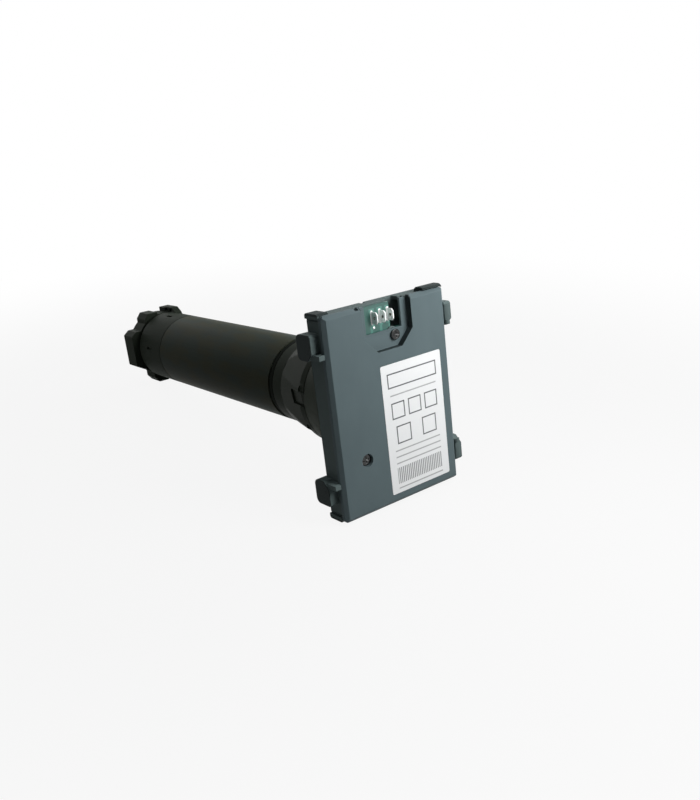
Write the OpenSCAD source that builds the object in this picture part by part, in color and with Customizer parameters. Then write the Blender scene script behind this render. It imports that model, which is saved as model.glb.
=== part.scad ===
// Tubular roller blind motor: a flat head with a plug recess, a turning crown behind it, a motor
// tube with brake and planetary gearbox inside, and a drive wheel at the far end.
// Millimetres. The origin is the centre of the head's front face, +X points out of that face
// and +Z is up. A depth is a distance behind the front face, so depth d lies at x = -d.
// Angles round the motor's axis run from +Y towards +Z.

/* [Head] */
// Width of the head
head_w = 80; // [76:1:92]
// Height of the head
head_h = 108; // [104:1:124]
// Depth of the head from its front face to its rear wall
head_d = 15; // [14.5:0.5:18]
// Thickness of the front cover
cover_t = 4; // [3.5:0.25:4.5]
// Bevel along the front edge of the cover
cover_bevel = 2; // [1:0.25:3]
// How far the cover's lower lip hangs below the head
cover_lip = 1; // [0.5:0.25:2]
// How far the housing stands back inside the cover's outline
housing_inset = 0.8; // [0.4:0.1:1.5]
// Wall of the moulded housing
shell_wall = 2; // [1.6:0.1:2.2]
// Corner radius of the head's outline
corner_r = 2.5; // [2.2:0.1:4]

/* [Plug recess] */
// Width of the recess in the front face
recess_w = 32; // [30:0.5:36]
// Height of the recess's lower edge above the axis
recess_bottom = 29; // [27:0.5:31]
// Slanted lower corners of the recess
recess_corner = 8; // [5:0.5:10]
// Thickness of the recess's floor, right behind the front cover
floor_t = 1.5; // [1.2:0.1:1.8]
// Width of the window through which the board shows
window_w = 23.4; // [22:0.2:25]
// Middle of the window, to the right of the axis
window_y = 0.2; // [-0.4:0.1:0.4]
// Height of the window's lower edge above the axis
window_bottom = 38.3; // [38.1:0.1:39.5]

/* [Terminals] */
// Width of a spade blade
blade_w = 6.3; // [4.8:0.1:6.3]
// Thickness of a spade blade
blade_t = 0.8; // [0.5:0.1:1]
// Distance between two blades
blade_pitch = 5.2; // [4.5:0.1:5.8]
// Height of the blades' middle above the window's lower edge
blade_rise = 7.7; // [7:0.1:8.5]
// Depth of the blades' tips
blade_tip = 1.2; // [1:0.2:2.8]

/* [Label] */
// Width of the rating label
label_w = 41.6; // [36:0.2:44]
// Height of the rating label
label_h = 71; // [60:0.5:74]
// Middle of the label, to the right of the axis
label_y = 12.5; // [11:0.25:13]
// Middle of the label, above the axis
label_z = -14.1; // [-15:0.1:-13]
// Thickness of the label
label_t = 0.15; // [0.1:0.05:0.3]

/* [Fixing lugs] */
// How far a side lug stands out from the housing's wall
lug_out = 5.6; // [4:0.2:7]
// Height of a side lug
lug_h = 13.5; // [11:0.5:15]
// Length of a side lug from front to back
lug_l = 12; // [10:0.5:14]
// Middle of a side lug, above and below the axis
lug_z = 38.5; // [36:0.5:40]
// Depth of the front of the left lugs
lug_from = 6.25; // [4.5:0.25:7]
// Depth of the front of the right lugs, which reach past the cover's edge
lug_fore = 1; // [0.5:0.25:3]
// Height of the pads on the head's upper and lower edges
pad_h = 2.6; // [1.5:0.1:3]
// Length of the pads at the left corners
short_pad = 6; // [4:0.5:9]
// Length of the pads at the right corners
long_pad = 13; // [10:0.5:18]

/* [Neck and crown] */
// Radius of the neck's foot on the head
neck_foot_r = 37; // [34:0.5:37.5]
// Length of the neck's flared part
neck_l = 26.6; // [24:0.2:30]
// Length of the crown
crown_l = 39; // [34:0.5:44]
// Radius of the crown's collar
collar_r = 30; // [28.5:0.25:31]
// Length of the crown's collar
collar_l = 4; // [3:0.25:6]
// Length of the crown's slanted facets
facet_l = 26; // [20:0.5:28]
// Radius of the journal that the crown turns on
journal_r = 21.5; // [20.5:0.1:22]
// Width of the groove between the crown and the tube
groove_w = 5; // [3.5:0.1:6]
// How far the groove lies below the tube's surface
groove_d = 1.6; // [1.2:0.1:2.5]
// Bore of the neck for the capacitor and the leads
neck_bore_r = 18; // [17.8:0.1:18.2]

/* [Tube] */
// Outer diameter of the motor tube
tube_d = 50; // [49:0.25:54]
// Wall of the motor tube
tube_wall = 1; // [0.8:0.05:1.1]
// Length of the spigot inside the tube
spigot_l = 18; // [14:0.5:24]

/* [Motor] */
// Length of the laminated cores
core_l = 40; // [30:1:60]
// Length of the end turns on each side of the core
end_turn_l = 9; // [6:0.5:12]
// Radius of the rotor
rotor_r = 13; // [12:0.25:13.5]
// Air gap between rotor and stator
air_gap = 0.3; // [0.25:0.05:0.5]
// Number of stator slots
stator_slots = 12; // [8:4:16]
// Number of bars in the rotor's cage
cage_bars = 17; // [11:1:19]
// Radius of the rotor shaft
shaft_r = 4; // [3.5:0.1:4.5]
// Thickness of the rear bearing shield
rear_shield_t = 6; // [5:0.25:8]
// Thickness of the front bearing shield
front_shield_t = 5; // [4:0.25:7]
// Outer radius of the bearing bushes
bush_r = 8; // [6.5:0.25:8.5]

/* [Brake] */
// Length of the brake's magnet
magnet_l = 8; // [7:0.25:11]
// Thickness of the brake plate
plate_t = 2; // [1.8:0.1:3]
// Travel of the brake plate when the magnet pulls it
plate_travel = 0.5; // [0.3:0.05:0.7]
// Thickness of the friction disc
disc_t = 3; // [2:0.25:4]
// Number of turns of the brake spring
spring_turns = 4; // [3:1:5]

/* [Gearbox] */
// Tooth module
tooth_module = 0.75; // [0.7:0.01:0.76]
// Face width of the gears
face_w = 7; // [5:0.25:9]
// Thickness of a planet carrier
carrier_t = 3; // [2:0.25:4]
// Radius of a planet's pin
pin_r = 2; // [1.5:0.1:2.5]
// Thickness of the gearbox's end cap
cap_t = 7; // [6:0.25:9]

/* [Drive wheel] */
// Length of the wheel's round band
band_l = 34.4; // [28:0.2:40]
// Length of the groove behind the band
waist_l = 4; // [3:0.25:6]
// Length of the lugs at the wheel's end
prong_l = 15; // [12:0.5:18]
// Reach of the prongs from the axis
prong_r = 27.2; // [26.5:0.1:29]
// Reach of the side blocks from the axis
block_r = 28; // [27:0.1:29]
// Height of the wheel's side blocks
block_h = 26; // [20:0.5:28]
// Width of one prong
prong_w = 11; // [8:0.25:12]
// Clear width between two prongs
prong_gap = 8.6; // [7:0.2:10]
// Reach of the key's ridge from the axis
key_r = 28.2; // [27.5:0.1:30]
// Width of the key
key_w = 5.5; // [4.5:0.25:9]
// Length of the key on the wheel's band
key_l = 9; // [8:0.5:12]
// Wall of the wheel
wheel_wall = 3; // [2.2:0.1:3.4]
// Side of the square output shaft
square_w = 12; // [10:0.25:13]
// Radius of the output shaft's journal
output_r = 8.8; // [8.6:0.1:9.4]

/* [Clearances] */
// Gap at a seat that doesn't move
seat_gap = 0.05; // [0.03:0.01:0.1]
// Radial gap of a running fit
run_gap = 0.06; // [0.03:0.01:0.08]
// Gap beside parts that turn freely
free_gap = 0.5; // [0.4:0.05:0.7]
// Play between two meshing teeth
backlash = 0.12; // [0.08:0.01:0.16]

/* [Hidden] */
round_fn = 96;
eps = 1;

// Head, from front to back
cover_top = head_h / 2;
cover_bottom = -head_h / 2 - cover_lip;
blade_mid = window_bottom + blade_rise;
housing_w = head_w - 2 * housing_inset;
housing_h = head_h - 2 * housing_inset;
rear_inside = head_d - shell_wall;
floor_back = cover_t + floor_t;
board_gap = 0.3;
board_t = 1.6;
board_front = floor_back + board_gap;
board_back = board_front + board_t;
board_w = 64;
board_edge = 0.7;
board_top = housing_h / 2 - shell_wall - board_edge;
board_bottom = -20;
post_in = 4;
post_r = 3;
post_y = board_w / 2 - post_in;
post_z = [board_bottom + post_in, board_top - post_in];
small_shank_r = 1.2;
small_head_r = 2.3;
small_head_h = 1.2;
hole_gap = 0.1;
face_screw = [-22.5, -25];
floor_screw = [6.5, 35.1];
floor_head_r = 2.8;
screw_shank_r = 1.5;
screw_head_r = 3.1;
screw_head_h = 1.4;
screw_sink = 1.6;
sink_gap = 0.4;
boss_r = 4;
neck_screw_r = 28;
neck_thread = 8;
label_pocket = label_t + seat_gap;
latch_y = 5.8;
latch_w = recess_w / 2 - 2 - latch_y;
blade_y = [for (i = [-1 : 1]) latch_y - 0.5 - blade_t / 2 + (i - 1) * blade_pitch];

// Tube and what fits inside it
tube_r = tube_d / 2;
tube_in = tube_r - tube_wall;
fit_r = tube_in - seat_gap;

// Depths along the axis
crown_play = 0.4;
disc_gap = 0.3;
neck_to = head_d + neck_l;
crown_from = neck_to + crown_play;
crown_to = crown_from + crown_l;
neck_end = crown_to + run_gap;
spigot_from = neck_end;
tube_from = spigot_from + groove_w;
spigot_to = tube_from + spigot_l;
rear_shield_to = spigot_to + rear_shield_t;
winding_from = rear_shield_to + free_gap;
core_from = winding_from + end_turn_l;
core_to = core_from + core_l;
winding_to = core_to + end_turn_l;
front_shield_from = winding_to + free_gap;
front_shield_to = front_shield_from + front_shield_t;
magnet_to = front_shield_to + magnet_l;
plate_from = magnet_to + plate_travel + free_gap;
plate_to = plate_from + plate_t;
disc_from = plate_to + disc_gap;
disc_to = disc_from + disc_t;
gear_plate_from = disc_to + free_gap;
gear_plate_t = 2;
gear_plate_to = gear_plate_from + gear_plate_t;
stage_pitch = face_w + carrier_t + 2 * free_gap;
ring_to = gear_plate_to + free_gap + 3 * stage_pitch + free_gap;
cap_to = ring_to + cap_t;
tube_to = cap_to;
wheel_from = tube_to + free_gap;
band_to = wheel_from + band_l;
waist_to = band_to + waist_l;
wheel_to = waist_to + prong_l;
key_from = band_to - key_l;
key_rise = 6;
key_fall = 12.8;

// Capacitor and leads in the neck's bore
cap_clear = 15;
cap_from = board_back + cap_clear;
cap_end_clear = 12;
cap_end = spigot_from - cap_end_clear;
capacitor_r = 14;
lead_r = 0.9;
lead_z = neck_bore_r - 1.5;
lead_pitch = 3;

// Tube screws
tube_thread = 4;
tube_screw_depths = [(tube_from + spigot_to) / 2, (ring_to + cap_to) / 2];

// Stator slots and rotor bars
slot_r = [rotor_r + air_gap + 1.5, fit_r - 3.5];
slot_w = 3.6;
slot_gap = 0.15;
bar_r = 1;
bar_orbit = rotor_r - 1.8;

// Brake
pole_r = 9;
magnet_floor = 2;
coil_floor = 3;
coil_r = [pole_r + 2, pole_r + 7.5];
coil_gap = 0.1;
magnet_r = fit_r - 1.5;
magnet_bore_r = shaft_r + 2;
guide_r = magnet_r - 3;
guide_pin_r = 1.2;
guide_in = 4;
spring_pocket = plate_t - 0.6;

// Output shaft
output_bush_r = output_r + 2.2;
tongue_w = square_w - 2;
shoulder_to = wheel_from + 3;
hub_gap = 0.2;
clip_groove = [wheel_to - 5.2, wheel_to - 4];
clip_r = square_w / 2 - 1;

function stage_from(stage) = gear_plate_to + free_gap + (stage - 1) * stage_pitch;
function carrier_from(stage) = stage_from(stage) + face_w + free_gap;

// Gear train: each stage has a sun, three planets and the common ring
sun_teeth = 15;
planet_teeth = 18;
ring_teeth = sun_teeth + 2 * planet_teeth;
planet_count = 3;
pressure_angle = 25;
addendum = 0.95 * tooth_module;
dedendum = 1.25 * tooth_module;
orbit_r = tooth_module * (sun_teeth + planet_teeth) / 2;
carrier_r = tooth_module * ring_teeth / 2 - tooth_module - free_gap;
hub_r = 2.5;

FIXED_NODES = [
    "head_cover", "head_housing", "cover_screws", "rating_label", "control_board", "board_screws",
    "spade_terminals", "relays", "supply_transformer", "neck", "neck_screws", "tube_spigot",
    "motor_tube", "tube_screws", "run_capacitor", "capacitor_rings", "motor_leads", "rear_shield",
    "front_shield", "rotor_bushes", "stator_core", "stator_windings", "brake_magnet",
    "brake_winding", "brake_pins", "brake_spring", "gearbox_plate", "ring_gear", "gearbox_cap",
    "output_bush"];
MOVING_NODES = [
    "crown", "rotor_core", "rotor_cage", "rotor_shaft", "brake_disc", "brake_plate",
    "sun_gear_1", "sun_gear_2", "sun_gear_3", "carrier_1", "carrier_2", "carrier_3",
    "output_shaft", "drive_wheel", "wheel_clip"];
PLANET_NODES = [for (stage = [1 : 3]) for (i = [1 : planet_count]) str("planet_", stage, "_", i)];

// Solid round bar along the axis, from one depth to another
module rod(r, from, to) {
    translate([-to, 0, 0]) rotate([0, 90, 0]) cylinder(r = r, h = to - from, $fn = round_fn);
}

// Tube along the axis, from one depth to another
module sleeve(r_out, r_in, from, to) {
    difference() {
        rod(r_out, from, to);
        rod(r_in, from - eps, to + eps);
    }
}

// Turns a profile of [radius, depth] points round the axis
module turned(profile) {
    rotate([0, -90, 0]) rotate_extrude($fn = round_fn) polygon(profile);
}

// Extrudes an outline of [y, z] points from one depth to another
module slab(from, to) {
    translate([-to, 0, 0]) rotate([90, 0, 90]) linear_extrude(to - from) children();
}

// Extrudes an outline of [x, z] points across the head, from one y to another
module across(from, to) {
    translate([0, to, 0]) rotate([90, 0, 0]) linear_extrude(to - from) children();
}

// Copies its children round the axis, the first one at +Y turned by start
module around(count, start = 0) {
    for (i = [0 : count - 1]) rotate([start + i * 360 / count, 0, 0]) children();
}

// Rectangle round the origin with round corners
module rounded(w, h, r) {
    square([w - 2 * r, h], center = true);
    square([w, h - 2 * r], center = true);
    for (y = [-1, 1]) for (z = [-1, 1]) {
        translate([y * (w / 2 - r), z * (h / 2 - r)]) circle(r, $fn = 32);
    }
}

// Outline of the plug recess, grown by a margin and open at the top
module recess_outline(grow, top) {
    half = recess_w / 2 + grow;
    shift = grow * tan(22.5);
    side_z = recess_bottom + recess_corner - shift;
    foot_y = recess_w / 2 - recess_corner + shift;
    polygon([[-half, top], [-half, side_z], [-foot_y, recess_bottom - grow],
        [foot_y, recess_bottom - grow], [half, side_z], [half, top]]);
}

// Screw along the axis direction: a low head with a cross recess, and its shank
module screw(from, length, shank_r = screw_shank_r, head_r = screw_head_r, head_h = screw_head_h) {
    cross_l = head_r * 1.2;
    cross_w = head_r * 0.3;
    difference() {
        rod(head_r, from, from + head_h);
        for (turn = [0, 90]) {
            slab(from - eps, from + head_h / 2) rotate(turn) square([cross_l, cross_w], center = true);
        }
    }
    rod(shank_r, from + head_h, from + head_h + length);
}

// Places of the screws in the head, as seen from the front
module at_face_screw() {
    translate([0, face_screw.x, face_screw.y]) children();
}

module at_floor_screw() {
    translate([0, floor_screw.x, floor_screw.y]) children();
}

module at_board_screws() {
    for (y = [-post_y, post_y]) for (z = post_z) translate([0, y, z]) children();
}

module at_neck_screws() {
    around(4) translate([0, neck_screw_r, 0]) children();
}

// Front cover: bevelled plate with the floor of the plug recess moulded on its back
module cover_plate() {
    half = head_w / 2;
    bevel = cover_bevel;
    intersection() {
        slab(0, cover_t) translate([0, (cover_top + cover_bottom) / 2])
            rounded(head_w, cover_top - cover_bottom, corner_r);
        across(-head_w, head_w) polygon([[-cover_t, cover_bottom], [-bevel, cover_bottom],
            [0, cover_bottom + bevel], [0, cover_top - bevel], [-bevel, cover_top], [-cover_t, cover_top]]);
        translate([0, 0, -head_h]) linear_extrude(2 * head_h) polygon([[-cover_t, -half], [-bevel, -half],
            [0, -half + bevel], [0, half - bevel], [-bevel, half], [-cover_t, half]]);
    }
}

// The floor overlaps the plate's back, and its sides run up through the mouth in the housing
module recess_floor() {
    lap = 2;
    side_gap = 0.2;
    inside_top = housing_h / 2 - shell_wall - side_gap;
    tongue_half = recess_w / 2 - side_gap;
    slab(cover_t, floor_back) difference() {
        union() {
            recess_outline(lap, inside_top);
            translate([-tongue_half, inside_top - eps]) square([2 * tongue_half, shell_wall + eps]);
        }
        translate([window_y - window_w / 2, window_bottom]) square([window_w, head_h]);
    }
}

module head_cover() {
    notch_y = -19.4;
    notch_w = 2.2;
    notch_h = 1.6;
    notch_from = 0.8;
    color([0.31, 0.37, 0.38]) difference() {
        union() {
            difference() {
                cover_plate();
                slab(-eps, cover_t + eps) recess_outline(0, head_h);
            }
            recess_floor();
        }
        slab(-eps, label_pocket) label_outline(seat_gap);
        at_face_screw() {
            rod(screw_head_r + sink_gap, -eps, screw_sink + screw_head_h);
            rod(screw_shank_r + hole_gap, -eps, cover_t + eps);
        }
        at_floor_screw() rod(screw_shank_r + hole_gap, cover_t - eps, floor_back + eps);
        // small snap notch in the upper edge, left of the recess
        slab(notch_from, cover_t + eps) translate([notch_y, cover_top - notch_h])
            square([notch_w, notch_h + eps]);
    }
}

module cover_screws() {
    end_gap = 0.5;
    face_from = screw_sink + screw_head_h;
    color([0.2, 0.2, 0.2]) {
        at_face_screw() screw(screw_sink, rear_inside - face_from - end_gap);
        at_floor_screw()
            screw(cover_t - screw_head_h, rear_inside - cover_t - end_gap, head_r = floor_head_r);
    }
}

module label_outline(grow) {
    corner = 1;
    translate([label_y, label_z]) rounded(label_w + 2 * grow, label_h + 2 * grow, corner);
}

module rating_label() {
    color([0.97, 0.97, 0.97]) slab(label_pocket - label_t, label_pocket) label_outline(0);
}

// Room round the cover's edge, for what reaches forward past it
module cover_room() {
    room = 0.25;
    slab(-eps, cover_t) translate([0, (cover_top + cover_bottom) / 2])
        rounded(head_w + 2 * room, cover_top - cover_bottom + 2 * room, corner_r);
}

// Side lug that snaps into the end plate of the blind's box, drawn on the right, upper side
module side_lug(front) {
    root = housing_w / 2 - shell_wall / 2;
    tip = housing_w / 2 + lug_out;
    lug_to = lug_from + lug_l;
    top = lug_z + lug_h / 2;
    bottom = lug_z - lug_h / 2;
    bend_r = 3;
    bevel = 1;
    slope = 4;
    tab_h = 2.6;
    tab_from = 1.2;
    tab_to = lug_from + slope;
    tab_in = 1;
    tab_tip = tip - tab_in;
    difference() {
        union() {
            across(root, tip) {
                polygon([[-front, top - bevel], [-front - bevel, top], [-lug_to + bend_r, top],
                    [-lug_to, top - bend_r], [-lug_to, bottom + bend_r], [-lug_to + bend_r, bottom],
                    [-front - slope, bottom], [-front, bottom + slope]]);
                for (z = [bottom + bend_r, top - bend_r]) {
                    translate([-lug_to + bend_r, z]) circle(bend_r, $fn = 32);
                }
            }
            // small stop tab in front of the slope, beside the cover's edge
            across(root, tab_tip) translate([-tab_to, bottom + bevel]) square([tab_to - tab_from, tab_h]);
        }
        cover_room();
    }
}

// Pad on the head's upper edge, from side to side and from front to back, with round corners
module edge_pad(from_y, to_y, front, back, height) {
    r = height * 0.8;
    root = housing_h / 2 - shell_wall / 2;
    top = housing_h / 2 + height;
    difference() {
        across(from_y, to_y) {
            translate([-back, root]) square([back - front, top - r - root]);
            translate([-back + r, root]) square([back - front - 2 * r, top - root]);
            for (x = [-back + r, -front - r]) translate([x, top - r]) circle(r, $fn = 32);
        }
        cover_room();
    }
}

module head_housing() {
    inside_w = housing_w - 2 * shell_wall;
    inside_h = housing_h - 2 * shell_wall;
    inside_r = corner_r - shell_wall + 0.5;
    boss_to = rear_inside + shell_wall / 2;
    mouth_h = shell_wall + 2 * eps;
    pad_over = 1;
    pad_fore = 1;
    pad_back = 8.5;
    pad_step = 0.8;
    notch_y = -6;
    notch_w = 2.5;
    notch_h = 1.2;
    notch_l = 2.5;
    color([0.16, 0.17, 0.17]) difference() {
        union() {
            difference() {
                slab(cover_t, head_d) rounded(housing_w, housing_h, corner_r);
                slab(cover_t - eps, rear_inside) rounded(inside_w, inside_h, inside_r);
            }
            for (z = [0, 1]) mirror([0, 0, z]) {
                side_lug(lug_fore);
                mirror([0, 1, 0]) side_lug(lug_from);
                edge_pad(-housing_w / 2 - pad_over, -housing_w / 2 + short_pad, cover_t, head_d,
                    pad_h - pad_step);
                edge_pad(housing_w / 2 - long_pad, housing_w / 2, z == 0 ? pad_fore : cover_t, pad_back,
                    pad_h);
            }
            at_face_screw() rod(boss_r, cover_t, boss_to);
            at_floor_screw() rod(boss_r, floor_back, boss_to);
            at_board_screws() rod(post_r, board_back, boss_to);
        }
        // mouth above the plug recess, deeper where the plug's latch goes
        translate([0, 0, inside_h / 2 - eps]) {
            slab(cover_t - eps, board_back + board_gap) translate([-recess_w / 2, 0])
                square([recess_w, mouth_h]);
            slab(cover_t - eps, rear_inside) translate([latch_y, 0]) square([latch_w, mouth_h]);
        }
        // small mould notch in the upper rear edge
        slab(head_d - notch_l, head_d + eps) translate([notch_y, housing_h / 2 - notch_h])
            square([notch_w, notch_h + eps]);
        rod(neck_bore_r, rear_inside - eps, head_d + eps);
        at_neck_screws() rod(screw_shank_r + hole_gap, rear_inside - eps, head_d + eps);
        at_face_screw() rod(screw_shank_r + seat_gap, cover_t - eps, rear_inside);
        at_floor_screw() rod(screw_shank_r + seat_gap, floor_back - eps, rear_inside);
        at_board_screws() rod(small_shank_r + seat_gap, board_back - eps, rear_inside);
    }
}

module control_board() {
    corner = 2;
    boss_gap = 0.3;
    tab_half = 12;
    tab_h = 1.8;
    color([0.1, 0.35, 0.25]) difference() {
        slab(board_front, board_back) {
            translate([0, (board_top + board_bottom) / 2])
                rounded(board_w, board_top - board_bottom, corner);
            translate([-tab_half, board_top - eps]) square([2 * tab_half, tab_h + eps]);
        }
        at_floor_screw() rod(boss_r + boss_gap, board_front - eps, board_back + eps);
        slab(board_front - eps, board_back + eps) translate([latch_y, window_bottom])
            square([latch_w, head_h]);
        at_board_screws() rod(small_shank_r + hole_gap, board_front - eps, board_back + eps);
    }
}

module board_screws() {
    end_gap = 0.3;
    shank_l = rear_inside - board_front - end_gap;
    color([0.7, 0.7, 0.7]) at_board_screws()
        screw(board_front - small_head_h, shank_l, small_shank_r, small_head_r, small_head_h);
}

module spade_terminals() {
    tip_cut = 1.2;
    hole_r = 0.8;
    hole_in = 2;
    half = blade_w / 2;
    translate([0, 0, blade_mid]) color([0.8, 0.75, 0.6]) for (y = blade_y) difference() {
        across(y - blade_t / 2, y + blade_t / 2) polygon([[-board_front, -half],
            [-blade_tip - tip_cut, -half], [-blade_tip, tip_cut - half], [-blade_tip, half - tip_cut],
            [-blade_tip - tip_cut, half], [-board_front, half]]);
        translate([-blade_tip - hole_in, y, 0]) rotate([90, 0, 0])
            cylinder(r = hole_r, h = 2 * blade_t, center = true, $fn = 32);
    }
}

// Relays and transformer stand on the board's back and reach into the neck's bore
module relays() {
    case_w = 10.5;
    case_h = 15;
    tall = 13;
    middle_y = 6.75;
    middle_z = 1.5;
    corner = 0.6;
    color([0.1, 0.2, 0.4]) for (side = [-1, 1]) {
        slab(board_back, board_back + tall) translate([side * middle_y, middle_z])
            rounded(case_w, case_h, corner);
    }
}

module supply_transformer() {
    case_w = 12;
    case_h = 8;
    tall = 10;
    low = 11.5;
    corner = 0.6;
    color([0.6, 0.55, 0.3]) slab(board_back, board_back + tall) translate([0, -low])
        rounded(case_w, case_h, corner);
}

// Neck: moulded flare from the head's rear wall down to the crown, with the crown's journal
module neck() {
    foot_l = 3;
    end_gap = 1;
    color([0.13, 0.14, 0.13]) difference() {
        turned([[neck_bore_r, head_d], [neck_foot_r, head_d], [neck_foot_r, head_d + foot_l],
            [collar_r, neck_to], [journal_r, neck_to], [journal_r, neck_end], [neck_bore_r, neck_end]]);
        at_neck_screws() rod(screw_shank_r + seat_gap, head_d - eps, head_d + neck_thread + end_gap);
    }
}

module neck_screws() {
    color([0.6, 0.6, 0.6]) at_neck_screws()
        screw(rear_inside - screw_head_h, shell_wall + neck_thread);
}

// Crown: turns freely on the neck and carries the near end of the roller tube
// Its flats are milled on a cone, and run out where the cone meets the round end
module crown() {
    facet_from = crown_from + collar_l;
    facet_to = facet_from + facet_l;
    collar_lap = 0.5;
    cone_r = [collar_r + 1, tube_r + 0.2];
    flat_r = [collar_r - 1.3, tube_r + 0.05];
    flats = 8;
    flat_turn = 7.5;
    notch_w = 8.5;
    notch_l = 14;
    notch_turn = 85.5;
    notch_floor = tube_r - 1;
    color([0.16, 0.18, 0.15]) difference() {
        union() {
            rod(collar_r, crown_from, facet_from + collar_lap);
            difference() {
                turned([[0, facet_from], [cone_r[0], facet_from], [cone_r[1], facet_to], [0, facet_to]]);
                around(flats, flat_turn) linear_extrude(2 * collar_r, center = true)
                    polygon([[-facet_from + eps, flat_r[0] + eps * (flat_r[0] - flat_r[1]) / facet_l],
                        [-facet_to - eps, flat_r[1] - eps * (flat_r[0] - flat_r[1]) / facet_l],
                        [-facet_to - eps, 2 * collar_r], [-facet_from + eps, 2 * collar_r]]);
            }
            rod(tube_r, facet_from, crown_to);
        }
        rod(journal_r + run_gap, crown_from - eps, crown_to + eps);
        around(4, notch_turn) slab(crown_from - eps, crown_from + notch_l)
            translate([notch_floor, -notch_w / 2]) square([collar_r, notch_w]);
    }
}

// Spigot: holds the tube's near end, closes the crown in and plugs into the neck
module tube_spigot() {
    plug_l = 10;
    plug_r = neck_bore_r - seat_gap;
    plug_in = neck_bore_r - 2;
    flange_r = tube_r - groove_d;
    bead_r = tube_r - 0.4;
    bead = [spigot_from + groove_w * 0.2, tube_from - groove_w * 0.2];
    color([0.13, 0.14, 0.13]) difference() {
        turned([[plug_in, spigot_from - plug_l], [plug_r, spigot_from - plug_l], [plug_r, spigot_from],
            [flange_r, spigot_from], [flange_r, bead[0]], [bead_r, bead[0]], [bead_r, bead[1]],
            [flange_r, bead[1]], [flange_r, tube_from], [fit_r, tube_from], [fit_r, spigot_to],
            [neck_bore_r, spigot_to], [neck_bore_r, tube_from], [plug_in, tube_from]]);
        lead_slot(spigot_from - plug_l - eps, tube_from + eps);
        at_tube_screws([tube_screw_depths[0]]) tube_screw_hole();
    }
}

// The tube's screws sit on its far side, one pair at each end
module at_tube_screws(depths) {
    spread = 35;
    for (depth = depths) for (side = [-1, 1]) {
        rotate([side * spread - 90, 0, 0]) translate([-depth, 0, 0]) children();
    }
}

module tube_screw_hole() {
    end_gap = 0.2;
    translate([0, 0, fit_r - tube_thread - end_gap])
        cylinder(r = small_shank_r + seat_gap, h = tube_thread + end_gap + eps, $fn = 32);
}

module tube_screws() {
    head_h = tube_wall * 0.8;
    color([0.5, 0.5, 0.5]) at_tube_screws(tube_screw_depths) {
        translate([0, 0, fit_r - tube_thread])
            cylinder(r = small_shank_r, h = tube_thread + seat_gap + head_h / 2, $fn = 32);
        translate([0, 0, tube_in]) cylinder(r = small_head_r, h = head_h, $fn = 32);
    }
}

module motor_tube() {
    color([0.18, 0.21, 0.17]) difference() {
        sleeve(tube_r, tube_in, tube_from, tube_to);
        at_tube_screws(tube_screw_depths) translate([0, 0, tube_in - eps])
            cylinder(r = small_head_r + hole_gap, h = tube_wall + 2 * eps, $fn = 32);
    }
}

// Motor leads run along the top of the neck's bore, through a slot in what they pass
module lead_slot(from, to) {
    side_gap = 0.8;
    slab(from, to) translate([0, lead_z])
        square([3 * lead_pitch, 2 * (lead_r + side_gap)], center = true);
}

module motor_leads() {
    color([0.5, 0.1, 0.1]) for (i = [-1 : 1]) {
        translate([0, i * lead_pitch, lead_z]) rod(lead_r, board_back, winding_from);
    }
}

module run_capacitor() {
    rim_h = 1;
    rim_w = 2;
    color([0.75, 0.75, 0.75]) turned([[0, cap_from + rim_h], [capacitor_r - rim_w, cap_from + rim_h],
        [capacitor_r - rim_w, cap_from], [capacitor_r, cap_from], [capacitor_r, cap_end - rim_h],
        [capacitor_r - rim_h, cap_end], [0, cap_end]]);
}

module capacitor_rings() {
    ring_l = 7;
    ring_in = 5;
    color([0.05, 0.05, 0.05]) for (from = [cap_from + ring_in, cap_end - ring_in - ring_l]) difference() {
        sleeve(neck_bore_r - seat_gap, capacitor_r + seat_gap, from, from + ring_l);
        lead_slot(from - eps, from + ring_l + eps);
    }
}

// Bearing shields: discs that hold the rotor's bushes in the tube
module rear_shield() {
    color([0.55, 0.55, 0.55]) difference() {
        rod(fit_r, spigot_to, rear_shield_to);
        rod(bush_r + seat_gap, spigot_to - eps, rear_shield_to + eps);
        lead_slot(spigot_to - eps, rear_shield_to + eps);
    }
}

module front_shield() {
    color([0.55, 0.55, 0.55]) sleeve(fit_r, bush_r + seat_gap, front_shield_from, front_shield_to);
}

module rotor_bushes() {
    color([0.72, 0.5, 0.2]) {
        sleeve(bush_r, shaft_r + run_gap, spigot_to, rear_shield_to);
        sleeve(bush_r, shaft_r + run_gap, front_shield_from, front_shield_to);
    }
}

// Stator: slotted core with the windings in its slots and at both ends
module stator_slot(gap) {
    translate([slot_r[0] - gap, -slot_w / 2 - gap])
        square([slot_r[1] - slot_r[0] + 2 * gap, slot_w + 2 * gap]);
}

module stator_core() {
    mouth_w = 1.6;
    color([0.4, 0.42, 0.45]) difference() {
        rod(fit_r, core_from, core_to);
        rod(rotor_r + air_gap, core_from - eps, core_to + eps);
        around(stator_slots) slab(core_from - eps, core_to + eps) {
            stator_slot(slot_gap);
            translate([rotor_r, -mouth_w / 2]) square([slot_r[0] - rotor_r, mouth_w]);
        }
    }
}

module stator_windings() {
    color([0.72, 0.4, 0.15]) {
        around(stator_slots) slab(core_from - eps, core_to + eps) stator_slot(0);
        for (ends = [[winding_from, core_from], [core_to, winding_to]]) {
            sleeve(slot_r[1], slot_r[0], ends[0], ends[1]);
        }
    }
}

// Rotor: laminated core with a cast cage, on the shaft
module at_bars() {
    around(cage_bars) translate([0, bar_orbit, 0]) children();
}

module rotor_core() {
    color([0.45, 0.45, 0.48]) difference() {
        sleeve(rotor_r, shaft_r + seat_gap, core_from, core_to);
        at_bars() rod(bar_r + seat_gap, core_from - eps, core_to + eps);
    }
}

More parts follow.
